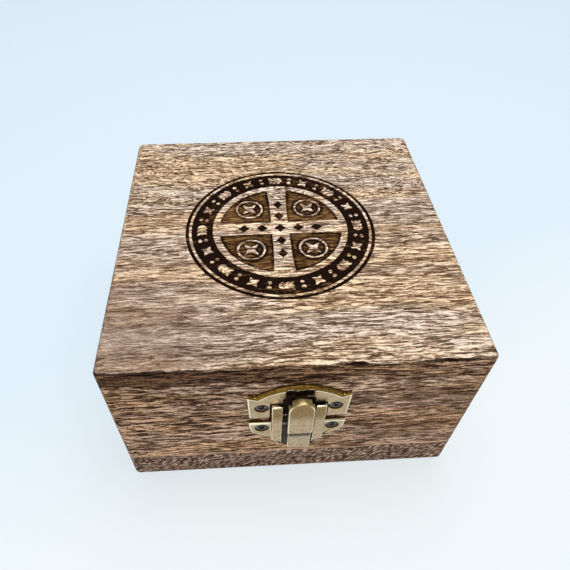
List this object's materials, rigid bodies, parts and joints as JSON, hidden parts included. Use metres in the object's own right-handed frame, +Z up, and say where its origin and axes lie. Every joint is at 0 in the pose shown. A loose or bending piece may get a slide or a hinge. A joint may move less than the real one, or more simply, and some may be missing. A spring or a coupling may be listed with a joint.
{
  "type": "prayer box",
  "caption": "Square hinged wooden keepsake box with butt hinges at the back and a sprung box latch on the front.",
  "frame": {"origin": "centre of the underside, in the plane that the box rests on", "axes": "+Z up, front face with the latch towards -Y, hinges towards +Y, +X to the right as seen from the front"},
  "size_m": [0.1, 0.1076, 0.058],
  "materials": {
    "panel_wood": "oiled",
    "wall_wood": "oiled",
    "antique_brass": "antique satin",
    "screw_steel": "darkened",
    "spring_steel": "bright"
  },
  "bodies": {
    "base": {"base_front_wall": "wall_wood", "base_back_wall": "wall_wood", "base_left_wall": "wall_wood", "base_right_wall": "wall_wood", "base_bottom_panel": "wall_wood", "catch_plate": "antique_brass", "catch_plate_screws": "screw_steel", "latch_lever_pin": "spring_steel", "latch_spring": "spring_steel", "left_hinge_base_leaf": "antique_brass", "right_hinge_base_leaf": "antique_brass", "left_hinge_pin": "antique_brass", "right_hinge_pin": "antique_brass"},
    "lid": {"lid_panel_front_board": "panel_wood", "lid_panel_rear_board": "panel_wood", "lid_front_wall": "wall_wood", "lid_back_wall": "wall_wood", "lid_left_wall": "wall_wood", "lid_right_wall": "wall_wood", "strike_plate": "antique_brass", "strike_plate_screws": "screw_steel", "left_hinge_lid_leaf": "antique_brass", "right_hinge_lid_leaf": "antique_brass"},
    "latch_lever": {"latch_lever": "antique_brass"}
  },
  "joints": [
    {"name": "lid_hinge", "type": "hinge", "parent": "base", "child": "lid", "pos_m": [0, 0.05165, 0.03455], "axis": [-1, 0, 0], "range_deg": [0, 180]},
    {"name": "latch_lever_pivot", "type": "hinge", "parent": "base", "child": "latch_lever", "pos_m": [0.0006, -0.0518, 0.03305], "axis": [1, 0, 0], "range_deg": [-6, 8], "stiffness_Nm_per_rad": 0.004, "springref_deg": -45.84, "deforming": ["latch_spring"]}
  ]
}
